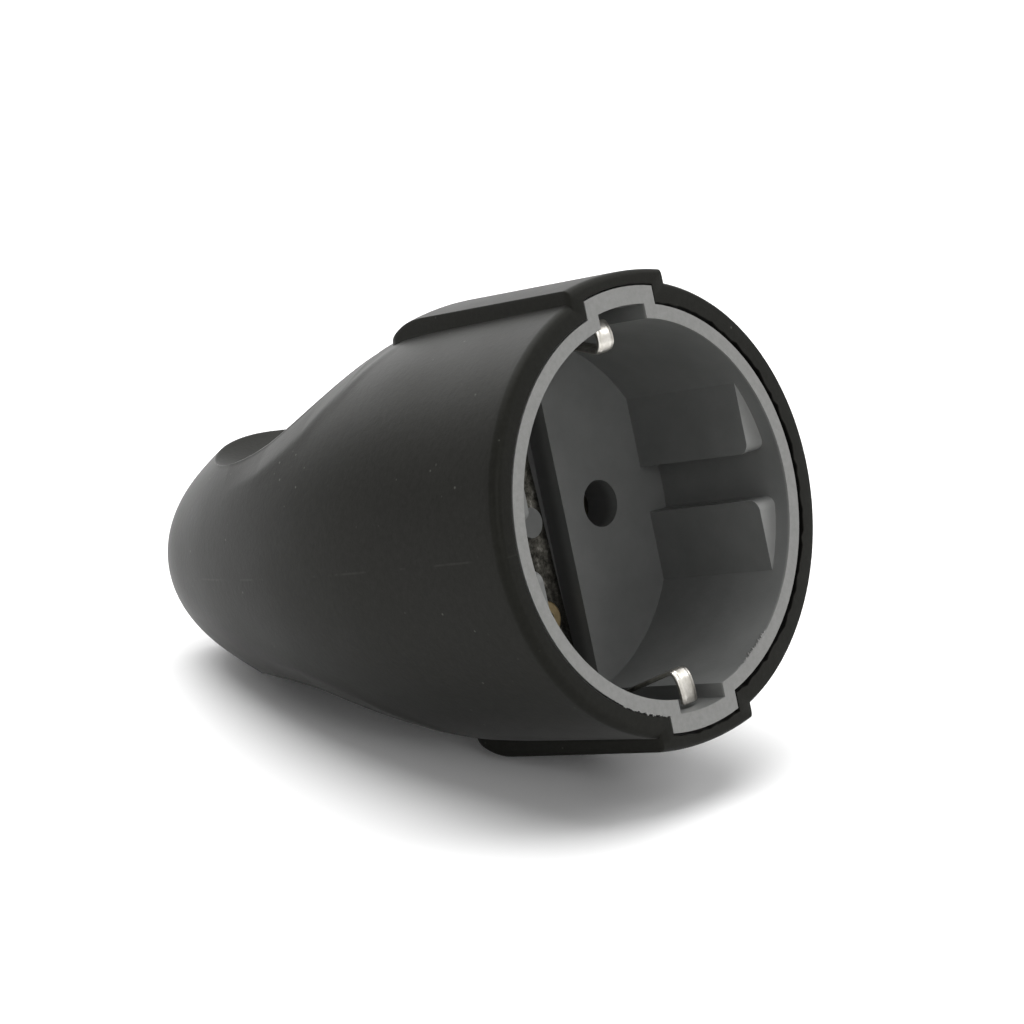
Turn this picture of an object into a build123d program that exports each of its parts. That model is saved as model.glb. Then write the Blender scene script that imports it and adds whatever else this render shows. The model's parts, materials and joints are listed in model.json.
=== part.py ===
from build123d import *
from math import acos, atan2, cos, degrees, hypot, radians, sin
import os

# Rubber-bodied grounded socket connector, type F (CEE 7/3) pattern, sizes in millimetres.
# It is drawn level: X comes out of the mouth, Z points to the upper keyway, the rim is X = 0,
# and a depth counts backwards from the rim. Last of all it is laid down as it rests.

# Recess for the plug, and the moulded cup round it
recess_radius = 19.7
recess_depth = 18.1
cup_wall = 1.5
floor_thickness = 4.5
keyway_width = 7.0
keyway_depth = 1.5
key_rib_wall = 1.9
key_rib_side = 1.6
guide_flat = 16.82
guide_gap = 5.1
guide_setback = 2.0
guide_rounding = 1.2
pin_pitch = 19.0
pin_hole_radius = 2.6

# Groove across the floor, with the earth strap riveted into it
groove_width = 7.6
groove_depth = 3.0
post_radius = 1.65
post_height = 1.6
strap_width = 5.6
strap_thickness = 0.6
strap_end_room = 1.3
strap_hole_clearance = 0.1
strap_turn = 2.4
clip_width = 2.6
clip_thickness = 0.5
clip_wall_gap = 0.5
clip_bend_depth = 15.6
clip_squeeze = 2.9
clip_peak_depth = 2.9
clip_curl_setback = 1.0
clip_curl_depth = 2.4
clip_tip_overrun = 1.0
clip_tip_depth = 2.9
clip_bend_radius = 0.9
rivet_offset = 10.6
rivet_head_radius = 2.0
rivet_head_height = 0.6
rivet_radius = 1.3
rivet_bore_radius = 0.8
rivet_engagement = 2.0
rivet_clearance = 0.05

# Carrier behind the cup, with a chamber for each line contact and the seat of the cord clamp
flange_thickness = 2.4
flange_rim_gap = 0.4
chamber_wall = 1.4
chamber_side_room = 0.7
chamber_height_room = 1.2
carrier_boss_radius = 3.4
carrier_boss_height = 3.0
carrier_hole_clearance = 0.15
rail_thickness = 1.4
rail_height = 6.0
saddle_gap = 1.4
saddle_length = 5.0
saddle_half_height = 6.4
saddle_step_width = 24.8
clamp_opening = 0.8
cord_channel_radius = 4.2

# Line contacts: folded brass forks for 4.8 mm pins, each with a frame clamp on its tail
leaf_width = 5.0
leaf_thickness = 0.7
leaf_gap = 4.6
leaf_flare = 1.0
leaf_setback = 0.4
leaf_throat = 2.6
contact_length = 15.0
tail_width = 3.6
tail_thickness = 0.8
tail_clearance = 0.1
spring_width = 3.0
spring_thickness = 0.4
spring_setback = 4.5
spring_slit = 1.2
frame_gap = 0.6
frame_length = 6.0
frame_width = 7.0
frame_height = 7.6
frame_wall = 1.2
frame_roof = 1.5
terminal_screw_radius = 1.65
terminal_head_radius = 2.6
terminal_head_height = 1.8
terminal_head_lift = 0.8
terminal_screw_reach = 5.0

# Earth terminal block behind the rivet
earth_block_width = 6.4
earth_block_height = 6.4
earth_block_length = 7.6
earth_wire_radius = 1.6
earth_wire_depth = 4.6
earth_head_height = 1.5
earth_head_lift = 0.5
earth_screw_inset = 2.6

# Other screws, their slots, and the nuts of the cord clamp
carrier_screw_radius = 1.15
carrier_screw_cap = 0.7
carrier_head_radius = 2.7
carrier_head_height = 2.0
clamp_screw_radius = 1.45
clamp_screw_clearance = 0.15
clamp_screw_inset = 3.8
clamp_head_radius = 2.5
clamp_head_height = 2.0
clamp_lug_thickness = 2.2
clamp_bar_margin = 0.3
clamp_arch_room = 0.1
clamp_arch_thickness = 2.1
nut_size = 5.4
nut_height = 2.2
nut_clearance = 0.1
slot_width = 0.8
slot_depth = 0.8

# Rubber housing
cup_fit = 0.1
lip_wall = 2.35
wing_wall = 1.55
wing_side_wall = 1.9
wing_crown_radius = 34.0
wing_overrun = 4.9
wing_corner_rounding = 0.5
wing_end_rounding = 2.0
wing_front_rounding = 0.4
lip_rounding = 0.8
barrel_depth = 12.0
barrel_drop = 0.15
shoulder_overrun = 4.4
shoulder_drop = 0.65
cone_overrun = 22.4
cone_drop = 1.1
rim_behind_insert = 10.4
bulb_radius = 14.1
heel_behind_rim = 8.2
heel_radius = 9.9
tail_behind_rim = 13.5
tail_rim_width = 0.7
tail_rounding = 0.35
thumb_radius = 21.1
thumb_lean = 49.9
thumb_spread = 12.9
thumb_rounding = 0.5
front_chamber_room = 0.35
front_chamber_length = 6.0
rear_chamber_room = 0.3
rear_chamber_height_room = 0.6
rear_chamber_rounding = 3.0
insert_end_room = 1.0
funnel_length = 6.0
cord_hole_radius = 4.6

# Depths of the stack, one piece seated behind the other
cup_length = recess_depth + floor_thickness
groove_bottom = recess_depth + groove_depth
flange_back = cup_length + flange_thickness
contact_front = cup_length + leaf_setback
contact_back = contact_front + contact_length
chamber_back = contact_back + chamber_wall
frame_front = chamber_back + frame_gap
frame_back = frame_front + frame_length
saddle_front = frame_back + saddle_gap
insert_back = saddle_front + saddle_length

# Radii and half widths that follow one from the other
cup_radius = recess_radius + cup_wall
keyway_radius = recess_radius + keyway_depth
strap_reach = recess_radius - strap_end_room
clip_peak_radius = recess_radius - clip_squeeze
clip_curl_radius = recess_radius - clip_curl_setback
clip_tip_radius = recess_radius + clip_tip_overrun
key_rib_radius = keyway_radius + key_rib_wall
key_rib_half = keyway_width / 2 + key_rib_side
rim_radius = cup_radius + cup_fit + lip_wall
wing_radius = key_rib_radius + cup_fit + wing_wall
wing_half = key_rib_half + cup_fit + wing_side_wall
flange_radius = cup_radius - flange_rim_gap
pin_offset = pin_pitch / 2
leaf_inner = leaf_gap / 2
leaf_outer = leaf_inner + leaf_thickness
chamber_inner_half = leaf_width / 2 + chamber_side_room
chamber_inner_height = leaf_outer + chamber_height_room
rail_inner = pin_offset + frame_width / 2 + rear_chamber_room
rail_outer = rail_inner + rail_thickness
earth_block_bottom = rivet_offset + earth_block_height / 2
clamp_screw_pitch = saddle_step_width - 2 * clamp_screw_inset
clamp_arch_half_width = clamp_screw_pitch / 2 - clamp_head_radius - clamp_arch_room
frame_window = frame_width / 2 - frame_wall
frame_window_height = frame_height / 2 - frame_roof
tail_bottom = -frame_window_height
tail_top = tail_bottom + tail_thickness


def along_x(sketch, front, back):
    """A sketch of the YZ plane, drawn from one depth behind the rim to another."""
    return extrude(Plane.YZ.offset(-back) * sketch, amount=back - front)


def across_y(sketch, centre, width):
    """A sketch of the XZ plane, drawn to a width about a station on Y."""
    return extrude(Plane.XZ.offset(-centre) * sketch, amount=width / 2, both=True)


def rod_x(radius, front, back, y=0, z=0):
    """A round bar along X between two depths."""
    return along_x(Pos(y, z) * Circle(radius), front, back)


def rod_z(radius, low, high, x, y=0):
    """A round bar along Z between two heights."""
    return extrude(Plane.XY.offset(low) * Pos(x, y) * Circle(radius), amount=high - low)


def block(front, back, y_low, y_high, z_low, z_high):
    """A square block given by its depths and its limits in Y and Z."""
    sketch = Pos((y_low + y_high) / 2, (z_low + z_high) / 2) * Rectangle(y_high - y_low, z_high - z_low)
    return along_x(sketch, front, back)


def slotted_screw_z(x, y, head_low, head_height, head_radius, shank_radius, tip, up=1):
    """A cheese-head screw along Z, its head above the shank, or below it where up is -1."""
    low, high = sorted((up * head_low, up * (head_low + head_height)))
    head = rod_z(head_radius, low, high, x, y)
    head = fillet(head.edges().group_by(Axis.Z)[-1 if up > 0 else 0], head_height / 5)
    shank_low, shank_high = sorted((up * head_low, up * tip))
    screw = head + rod_z(shank_radius, shank_low, shank_high, x, y)
    face = up * (head_low + head_height)
    slot_low, slot_high = sorted((face, face - up * slot_depth))
    slot = extrude(Plane.XY.offset(slot_low) * Pos(x, y) * Rectangle(3 * head_radius, slot_width),
                   amount=slot_high - slot_low)
    return screw - slot


def make_socket_cup():
    """Moulded cup: recess, keyways, guides, floor with pin holes, groove, post and holes."""
    ribs = Circle(key_rib_radius) & Rectangle(2 * key_rib_half, 3 * key_rib_radius)
    cup = along_x(Circle(cup_radius) + ribs, 0, cup_length)
    keyways = Circle(keyway_radius) & Rectangle(keyway_width, 3 * keyway_radius)
    cup -= along_x(Circle(recess_radius), 0, recess_depth)
    cup -= along_x(keyways, 0, groove_bottom)
    cup -= along_x(Circle(recess_radius) & Rectangle(groove_width, 3 * recess_radius), recess_depth, groove_bottom)

    guide_side = Pos(guide_flat + recess_radius, 0) * Rectangle(2 * recess_radius, 3 * recess_radius)
    guides = Circle(recess_radius) & guide_side
    guides -= Rectangle(4 * recess_radius, guide_gap)
    pair = along_x(guides, guide_setback, recess_depth)
    inner_front = [e for e in pair.edges().group_by(Axis.X)[-1] if abs(abs(e.center().Z) - guide_gap / 2) < 0.01]
    pair = fillet(inner_front, guide_rounding)
    cup += pair + mirror(pair, about=Plane.XZ)

    for side in (-1, 1):
        cup -= rod_x(pin_hole_radius, recess_depth - 1, cup_length + 1, y=side * pin_offset)
    cup += rod_x(post_radius, groove_bottom - post_height, groove_bottom)
    cup -= rod_x(carrier_screw_radius, groove_bottom - post_height + carrier_screw_cap, cup_length + 1)
    cup -= rod_x(rivet_radius + rivet_clearance, groove_bottom - 1, cup_length + 1, z=-rivet_offset)
    return cup


def make_earth_strap():
    """Springy nickel-plated strip: flat across the groove, hooked up at both ends, sitting a little turned."""
    strap = block(groove_bottom - strap_thickness, groove_bottom, -strap_width / 2, strap_width / 2,
                  -strap_reach, strap_reach)
    leg = keyway_radius - clip_wall_gap - clip_thickness / 2
    root = groove_bottom - clip_thickness / 2
    path = FilletPolyline((-root, strap_reach - 1), (-root, leg), (-clip_bend_depth, leg),
                          (-clip_peak_depth, clip_peak_radius + clip_thickness / 2),
                          (-clip_curl_depth, clip_curl_radius), (-clip_tip_depth, clip_tip_radius),
                          radius=clip_bend_radius)
    path = Plane.XZ * path
    start = Plane(origin=path @ 0, x_dir=(0, 1, 0), z_dir=path % 0)
    clip = sweep(start * Rectangle(clip_width, clip_thickness), path=path)
    strap += clip
    strap += mirror(clip, about=Plane.XY)
    strap = Rot(strap_turn, 0, 0) * strap
    strap -= rod_x(post_radius + strap_hole_clearance, groove_bottom - 2, groove_bottom + 1)
    strap -= rod_x(rivet_radius + rivet_clearance, groove_bottom - 2, groove_bottom + 1, z=-rivet_offset)
    return strap


def make_earth_rivet():
    """Tubular brass rivet, rolled over on the strap and reaching into the earth terminal."""
    head_back = groove_bottom - strap_thickness
    head = rod_x(rivet_head_radius, head_back - rivet_head_height, head_back, z=-rivet_offset)
    head = fillet(head.edges().group_by(Axis.X)[-1], rivet_head_height / 2)
    rivet = head + rod_x(rivet_radius, head_back, cup_length + rivet_engagement, z=-rivet_offset)
    return rivet - rod_x(rivet_bore_radius, recess_depth, cup_length + rivet_engagement + 1, z=-rivet_offset)


def make_earth_terminal():
    """Brass block against the back of the cup, bored for the rivet, the wire and the clamp screw."""
    back = cup_length + earth_block_length
    half = earth_block_width / 2
    terminal = block(cup_length, back, -half, half, -earth_block_bottom, -rivet_offset + earth_block_height / 2)
    terminal -= rod_x(rivet_radius + rivet_clearance, cup_length - 1, cup_length + rivet_engagement, z=-rivet_offset)
    terminal -= rod_x(earth_wire_radius, back - earth_wire_depth, back + 1, z=-rivet_offset)
    terminal -= rod_z(terminal_screw_radius, -earth_block_bottom - 1, -rivet_offset, -(back - earth_screw_inset))
    return terminal


def make_contact_carrier():
    """Moulded carrier: flange on the back of the cup, contact chambers, screw boss, rails and clamp saddle."""
    carrier = rod_x(flange_radius, cup_length, flange_back)
    outer_half = chamber_inner_half + chamber_wall
    outer_height = chamber_inner_height + chamber_wall
    for side in (-1, 1):
        y = side * pin_offset
        carrier += block(flange_back, chamber_back, y - outer_half, y + outer_half, -outer_height, outer_height)
        rail_low, rail_high = sorted((side * rail_inner, side * rail_outer))
        carrier += block(flange_back, insert_back, rail_low, rail_high, -rail_height / 2, rail_height / 2)
        joint_low, joint_high = sorted((y, side * rail_outer))
        carrier += block(flange_back, chamber_back, joint_low, joint_high, -rail_height / 2, rail_height / 2)
        carrier -= block(cup_length - 1, contact_back, y - chamber_inner_half, y + chamber_inner_half,
                         -chamber_inner_height, chamber_inner_height)
        tail_half = tail_width / 2 + tail_clearance
        carrier -= block(contact_back - 1, chamber_back + 1, y - tail_half, y + tail_half,
                         tail_bottom - tail_clearance, tail_top + tail_clearance)
    carrier += rod_x(carrier_boss_radius, flange_back, flange_back + carrier_boss_height)
    carrier -= rod_x(carrier_screw_radius + carrier_hole_clearance, cup_length - 1, flange_back + carrier_boss_height + 1)
    window = earth_block_width / 2 + nut_clearance
    carrier -= block(cup_length - 1, flange_back + 1, -window, window, -earth_block_bottom - nut_clearance,
                     -rivet_offset + earth_block_height / 2 + nut_clearance)

    carrier += block(saddle_front, insert_back, -rail_outer, rail_outer, -rail_height / 2, -clamp_opening)
    carrier += block(saddle_front, insert_back, -saddle_step_width / 2, saddle_step_width / 2,
                     -saddle_half_height, -clamp_opening)
    carrier -= rod_x(cord_channel_radius, saddle_front - 0.5, insert_back + 1)
    middle = -(saddle_front + insert_back) / 2
    pocket = nut_size + 2 * nut_clearance
    for side in (-1, 1):
        y = side * clamp_screw_pitch / 2
        carrier -= rod_z(clamp_screw_radius + clamp_screw_clearance, -saddle_half_height - 1, 1, middle, y)
        nut_sketch = Plane.XY.offset(-saddle_half_height - 1) * Pos(middle, y) * Rectangle(saddle_length * 2, pocket)
        carrier -= extrude(nut_sketch, amount=1 + nut_height + nut_clearance)
    return carrier


def make_carrier_screw():
    """Self-tapping screw on the axis, from the carrier's boss into the post of the cup."""
    head_front = flange_back + carrier_boss_height
    head = rod_x(carrier_head_radius, head_front, head_front + carrier_head_height)
    head = fillet(head.edges().group_by(Axis.X)[0], carrier_head_height / 5)
    screw = head + rod_x(carrier_screw_radius, groove_bottom - post_height + carrier_screw_cap, head_front)
    slot_front = head_front + carrier_head_height - slot_depth
    return screw - block(slot_front, head_front + carrier_head_height + 1, -slot_width / 2, slot_width / 2,
                         -2 * carrier_head_radius, 2 * carrier_head_radius)


def make_line_contact(side):
    """Folded brass fork: two flared leaves, the web that joins them, and the tail for the clamp."""
    throat = contact_front + leaf_throat
    flare = leaf_inner + leaf_flare
    upper_out = [(-contact_front, flare + leaf_thickness), (-throat, leaf_outer), (-contact_back, leaf_outer)]
    lower_out = [(x, -z) for x, z in reversed(upper_out)]
    lower_in = [(-contact_front, -flare), (-throat, -leaf_inner), (-contact_back + leaf_thickness, -leaf_inner)]
    upper_in = [(x, -z) for x, z in reversed(lower_in)]
    section = make_face(Polyline(*upper_out, *lower_out, *lower_in, *upper_in, close=True))
    contact = across_y(section, side * pin_offset, leaf_width)
    y = side * pin_offset
    return contact + block(contact_back, frame_back, y - tail_width / 2, y + tail_width / 2, tail_bottom, tail_top)


def make_contact_spring(side):
    """Steel band bent round both leaves, open by a slit on its outer side."""
    half = leaf_width / 2
    outer = Rectangle(2 * (half + spring_thickness), 2 * (leaf_outer + spring_thickness))
    outer = fillet(outer.vertices(), 2 * spring_thickness)
    band = outer - Rectangle(2 * half, 2 * leaf_outer)
    band -= Pos(side * half, 0) * Rectangle(4 * spring_thickness, spring_slit)
    front = contact_front + spring_setback
    return along_x(Pos(side * pin_offset, 0) * band, front, front + spring_width)


def make_terminal_frame(side):
    """Brass frame clamp round the tail of the contact, tapped through its roof."""
    ring = Rectangle(frame_width, frame_height) - Rectangle(2 * frame_window, 2 * frame_window_height)
    frame = along_x(Pos(side * pin_offset, 0) * ring, frame_front, frame_back)
    middle = -(frame_front + frame_back) / 2
    return frame - rod_z(terminal_screw_radius, 0, frame_height, middle, side * pin_offset)


def make_terminal_screw(side):
    """Steel clamp screw in the roof of the terminal frame."""
    middle = -(frame_front + frame_back) / 2
    head_low = frame_height / 2 + terminal_head_lift
    return slotted_screw_z(middle, side * pin_offset, head_low, terminal_head_height, terminal_head_radius,
                           terminal_screw_radius, head_low - terminal_screw_reach)


def make_earth_terminal_screw():
    """Steel clamp screw of the earth terminal, its head below the block."""
    middle = -(cup_length + earth_block_length - earth_screw_inset)
    head_low = earth_block_bottom + earth_head_lift
    return slotted_screw_z(middle, 0, head_low, earth_head_height, terminal_head_radius, terminal_screw_radius,
                           rivet_offset + earth_wire_radius / 2, up=-1)


def make_cord_clamp_bar():
    """Moulded bridge over the cord channel, with a lug for a screw at each end."""
    front = saddle_front + clamp_bar_margin
    back = insert_back - clamp_bar_margin
    half = saddle_step_width / 2 - clamp_bar_margin
    lug_top = clamp_opening + clamp_lug_thickness
    bar = block(front, back, -half, half, clamp_opening, lug_top)
    bar += block(front, back, -clamp_arch_half_width, clamp_arch_half_width, clamp_opening,
                 cord_channel_radius + clamp_arch_thickness)
    ridge = bar.edges().filter_by(Axis.X).group_by(Axis.Z)[-1]
    bar = fillet(ridge, clamp_arch_thickness)
    bar -= rod_x(cord_channel_radius, front - 1, back + 1)
    for side in (-1, 1):
        bar -= rod_z(clamp_screw_radius + clamp_screw_clearance, 0, lug_top + 1, -(front + back) / 2,
                     side * clamp_screw_pitch / 2)
    return bar


def make_clamp_screw(side):
    """Steel screw of the cord clamp, from the lug of the bar to the nut under the saddle."""
    middle = -(saddle_front + insert_back) / 2
    head_low = clamp_opening + clamp_lug_thickness
    tip = -saddle_half_height + nut_clearance
    return slotted_screw_z(middle, side * clamp_screw_pitch / 2, head_low, clamp_head_height, clamp_head_radius,
                           clamp_screw_radius, tip)


def make_clamp_nut(side):
    """Square nut in its pocket under the saddle."""
    middle = -(saddle_front + insert_back) / 2
    y = side * clamp_screw_pitch / 2
    low = -saddle_half_height + nut_clearance
    sketch = Rectangle(saddle_length - 2 * nut_clearance, nut_size) - Circle(clamp_screw_radius)
    return extrude(Plane.XY.offset(low) * Pos(middle, y) * sketch, amount=nut_height)


# Outline of the rubber body, from the lip over the barrel and the cone to the bulb at the rear
rim_depth = insert_back + rim_behind_insert
body_length = rim_depth + tail_behind_rim
outline_points = [
    (0, rim_radius),
    (-barrel_depth, rim_radius - barrel_drop),
    (-(cup_length + shoulder_overrun), rim_radius - shoulder_drop),
    (-(cup_length + cone_overrun), cup_radius - cone_drop),
    (-rim_depth, bulb_radius),
    (-(rim_depth + heel_behind_rim), heel_radius),
    (-body_length, cord_hole_radius + tail_rim_width),
]
outline = Spline(*outline_points)
wing_length = cup_length + wing_overrun

# Each thumb hollow is cut by an arc through the edge of the bulb, swung about an axis high above it
thumb_x = -rim_depth + thumb_radius * cos(radians(thumb_lean))
thumb_z = bulb_radius + thumb_radius * sin(radians(thumb_lean))
thumb_axis_z = thumb_z + thumb_spread


def make_rubber_housing():
    """Moulded rubber body: barrel with two key wings, thumb hollows, bore for the insert, cord hole."""
    ends = Polyline(outline_points[-1], (-body_length, 0), (0, 0), outline_points[0])
    body = revolve(make_face(outline + ends), axis=Axis.X)
    body = fillet(body.edges().group_by(Axis.X)[0], tail_rounding)
    body = fillet(body.edges().group_by(Axis.X)[-1], lip_rounding)
    crown = Pos(0, wing_radius - wing_crown_radius) * Circle(wing_crown_radius)
    slab = along_x(crown & Pos(0, wing_radius) * Rectangle(2 * wing_half, wing_radius), 0, wing_length)
    wing = fillet(slab.edges().filter_by(Axis.X).group_by(Axis.Z)[-1], wing_corner_rounding)
    wing = fillet(wing.edges().group_by(Axis.X)[0].sort_by(Axis.Z)[-1], wing_end_rounding)
    front_edges = [e for e in wing.edges().group_by(Axis.X)[-1] if e.center().Z > wing_radius / 2 + lip_rounding]
    wing = fillet(front_edges, wing_front_rounding)
    body += wing
    body += mirror(wing, about=Plane.XY)
    arc = Pos(thumb_x, thumb_z) * Circle(thumb_radius)
    arc -= Pos(thumb_x, thumb_axis_z + thumb_radius) * Rectangle(4 * thumb_radius, 2 * thumb_radius)
    barrel = revolve(Plane.XZ * arc, axis=Axis((thumb_x, 0, thumb_axis_z), (1, 0, 0)))
    body -= barrel
    body -= mirror(barrel, about=Plane.XY)
    hollow_rims = [e for e in body.edges() if is_hollow_rim(e)]
    body = fillet(hollow_rims, thumb_rounding)

    ribs = Circle(key_rib_radius + cup_fit) & Rectangle(2 * (key_rib_half + cup_fit), 3 * key_rib_radius)
    body -= along_x(Circle(cup_radius + cup_fit) + ribs, 0, cup_length)
    body -= rod_x(cup_radius + cup_fit, 0, flange_back)
    terminal_reach = hypot(terminal_head_radius, earth_block_bottom + earth_head_lift + earth_head_height)
    body -= rod_x(terminal_reach + front_chamber_room, 0, flange_back + front_chamber_length)
    chamber = RectangleRounded(2 * (rail_outer + rear_chamber_room), 2 * (saddle_half_height + rear_chamber_height_room),
                               rear_chamber_rounding)
    chamber_end = insert_back + insert_end_room
    body -= along_x(chamber, 0, chamber_end)
    mouth = saddle_half_height + rear_chamber_height_room / 2
    funnel = make_face(Polyline((-chamber_end + 1, 0), (-chamber_end + 1, mouth), (-chamber_end, mouth),
                                (-chamber_end - funnel_length, cord_hole_radius), (-body_length - 1, cord_hole_radius),
                                (-body_length - 1, 0), close=True))
    return body - revolve(funnel, axis=Axis.X)


def is_hollow_rim(edge):
    """True for an edge whose middle lies on one of the two thumb hollows."""
    point = edge @ 0.5
    swing = hypot(point.Y, abs(point.Z) - thumb_axis_z)
    return abs(hypot(point.X - thumb_x, swing - thumb_spread) - thumb_radius) < 0.01


def resting_angle():
    """Tilt at which the wing's rounded end and the bulb's rounded edge touch one plane."""
    start = outline % outline.param_at_point(Vector(-rim_depth, bulb_radius, 0))
    skin = (-start.Y, start.X) if start.X > 0 else (start.Y, -start.X)
    wall = (cos(radians(thumb_lean)), sin(radians(thumb_lean)))
    spread = 1 + skin[0] * wall[0] + skin[1] * wall[1]
    bulb_x = -rim_depth - thumb_rounding * (skin[0] + wall[0]) / spread
    bulb_r = bulb_radius - thumb_rounding * (skin[1] + wall[1]) / spread
    wing_x = -wing_length + wing_end_rounding
    wing_r = wing_radius - wing_end_rounding
    run = wing_x - bulb_x
    rise = wing_r - bulb_r
    return degrees(acos((thumb_rounding - wing_end_rounding) / hypot(run, rise)) - atan2(run, rise))


pieces = {
    "rubber_housing": make_rubber_housing(),
    "socket_cup": make_socket_cup(),
    "earth_strap": make_earth_strap(),
    "earth_rivet": make_earth_rivet(),
    "earth_terminal": make_earth_terminal(),
    "earth_terminal_screw": make_earth_terminal_screw(),
    "contact_carrier": make_contact_carrier(),
    "carrier_screw": make_carrier_screw(),
    "cord_clamp_bar": make_cord_clamp_bar(),
}
for name, side in (("left", -1), ("right", 1)):
    pieces[name + "_line_contact"] = make_line_contact(side)
    pieces[name + "_contact_spring"] = make_contact_spring(side)
    pieces[name + "_terminal_frame"] = make_terminal_frame(side)
    pieces[name + "_terminal_screw"] = make_terminal_screw(side)
    pieces[name + "_clamp_screw"] = make_clamp_screw(side)
    pieces[name + "_clamp_nut"] = make_clamp_nut(side)

# Laid down on the wing and the bulb, mouth raised, with the floor at Z = 0 and the middle at the origin
tilt = Rot(0, -resting_angle(), 0)
box = (tilt * pieces["rubber_housing"]).bounding_box()
lay = Pos(-(box.min.X + box.max.X) / 2, 0, -box.min.Z) * tilt

os.makedirs("parts", exist_ok=True)
for name, piece in pieces.items():
    export_step(lay * piece, "parts/" + name + ".step")
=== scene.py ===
import json

import bmesh
import bpy
import numpy as np
from mathutils import Matrix, Vector


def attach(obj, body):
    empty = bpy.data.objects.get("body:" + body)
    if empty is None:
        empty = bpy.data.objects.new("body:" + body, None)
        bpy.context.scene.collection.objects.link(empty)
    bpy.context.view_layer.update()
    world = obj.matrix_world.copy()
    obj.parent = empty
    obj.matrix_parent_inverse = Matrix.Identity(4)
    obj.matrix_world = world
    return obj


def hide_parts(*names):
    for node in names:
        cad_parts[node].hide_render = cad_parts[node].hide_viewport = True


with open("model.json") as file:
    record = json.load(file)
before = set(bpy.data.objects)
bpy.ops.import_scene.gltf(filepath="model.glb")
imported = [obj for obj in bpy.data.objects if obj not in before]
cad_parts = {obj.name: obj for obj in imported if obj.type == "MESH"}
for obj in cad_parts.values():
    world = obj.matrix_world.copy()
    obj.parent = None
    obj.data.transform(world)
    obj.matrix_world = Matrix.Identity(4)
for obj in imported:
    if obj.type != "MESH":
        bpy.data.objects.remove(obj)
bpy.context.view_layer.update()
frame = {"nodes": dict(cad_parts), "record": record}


# Grey cup. One hard moulding of dull dark grey plastic with the recess, its keyways and guides, the post and
# the pin holes, and a groove in its floor for the strap. Its rim has the plain grey. Inside, painted shade
# makes it darker, and darker still in the holes and under the floor. Painted light makes the faces near the
# rim on the right that look out of the mouth lighter.
# the first pair is painted shade inside the recess, the second painted light near the rim, the third the
# rim's plain grey, and the last grey painted shade in the holes and under the floor
inside_shade_grey = (0.122, 0.125, 0.122), (0.146, 0.149, 0.145)
mouth_light_grey = (0.228, 0.230, 0.225), (0.262, 0.264, 0.258)
rim_grey = (0.205, 0.205, 0.199), (0.245, 0.245, 0.238)
pit_shade_grey = 0.066, 0.067, 0.066
# in metres from the rim's centre, and for facing as a cosine: where one tone goes over to the next
rim_band, mouth_band = (-0.00035, -0.00005), (-0.0035, -0.0022)
right_half_band = -0.002, 0.002
hole_band, under_floor_band = (-0.0184, -0.0200), (-0.0207, -0.0209)
facing_band = 0.35, 0.85

# The connector is drawn level in millimetres and then laid down: X goes out of the mouth from its rim, and Z
# to the upper keyway. The cup's two pin holes tell how far it leans and where the rim's centre lies.
pin_hole_depth = 0.02035
pin_holes = [mount for mount in frame["record"]["mounts"] if mount["name"].endswith("pin_hole")]
mouth_axis = np.array(pin_holes[0]["axis"], float)
mouth_axis /= np.linalg.norm(mouth_axis)
rim_centre = np.mean([hole["pos_m"] for hole in pin_holes], axis=0) + pin_hole_depth * mouth_axis
lean = np.arctan2(mouth_axis[2], mouth_axis[0])
level_axes = np.array([[np.cos(lean), 0, -np.sin(lean)], [0, 1, 0], [np.sin(lean), 0, np.cos(lean)]])
slot_of = {row["node"]: row["material_slot"] for row in frame["record"]["subparts"]}


def laid_direction(vector):
    """A level direction turned by the lean."""
    return Vector(level_axes @ np.asarray(vector, float))


def wired(tree, kind, inputs, **settings):
    """A new node with its settings. An input takes a number, a vector, a colour or another node's socket."""
    node = tree.nodes.new(kind)
    for name, value in settings.items():
        setattr(node, name, value)
    for name, value in inputs.items():
        socket = node.inputs[name]
        if isinstance(value, bpy.types.NodeSocket):
            tree.links.new(value, socket)
        else:
            socket.default_value = (*value, 1) if socket.type == "RGBA" else value
    return node


def new_finish(name):
    """A material, its node tree, its shader and the Object coordinates that its patterns read."""
    material = bpy.data.materials.new(name)
    material.use_nodes = True
    tree = material.node_tree
    place = tree.nodes.new("ShaderNodeTexCoord").outputs["Object"]
    return material, tree, tree.nodes["Principled BSDF"], place


def level_stations(tree, place):
    """X, Y and Z of the level drawing, in metres from the rim's centre: coordinates turned and moved back."""
    back = wired(tree, "ShaderNodeMapping", {"Vector": place, "Location": tuple(rim_centre),
                                             "Rotation": (0, -lean, 0)}, vector_type="TEXTURE")
    return wired(tree, "ShaderNodeSeparateXYZ", {"Vector": back.outputs["Vector"]}).outputs


def speckle(tree, place, scale, detail=4.0, rough=0.6):
    """A noise field over the piece, about one wave for each 1/scale metres."""
    inputs = {"Vector": place, "Scale": scale, "Detail": detail, "Roughness": rough}
    return wired(tree, "ShaderNodeTexNoise", inputs).outputs["Fac"]


def ramp(tree, value, positions, colours, smooth=False):
    """Colours that follow a value, each a triple or one grey number at its position."""
    node = wired(tree, "ShaderNodeValToRGB", {"Fac": value})
    node.color_ramp.interpolation = "EASE" if smooth else "LINEAR"
    elements = node.color_ramp.elements
    while len(elements) < len(colours):
        elements.new(0.5)
    for element, position, colour in zip(elements, positions, colours):
        element.position = position
        element.color = (*np.full(3, colour, float), 1)
    return node.outputs["Color"]


def mixed(tree, share, first, second, blend="MIX"):
    """Two colours blended by a share; each of the three is a constant or a field."""
    inputs = {0: share, 6: first, 7: second}
    return wired(tree, "ShaderNodeMix", inputs, data_type="RGBA", blend_type=blend).outputs[2]


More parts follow.
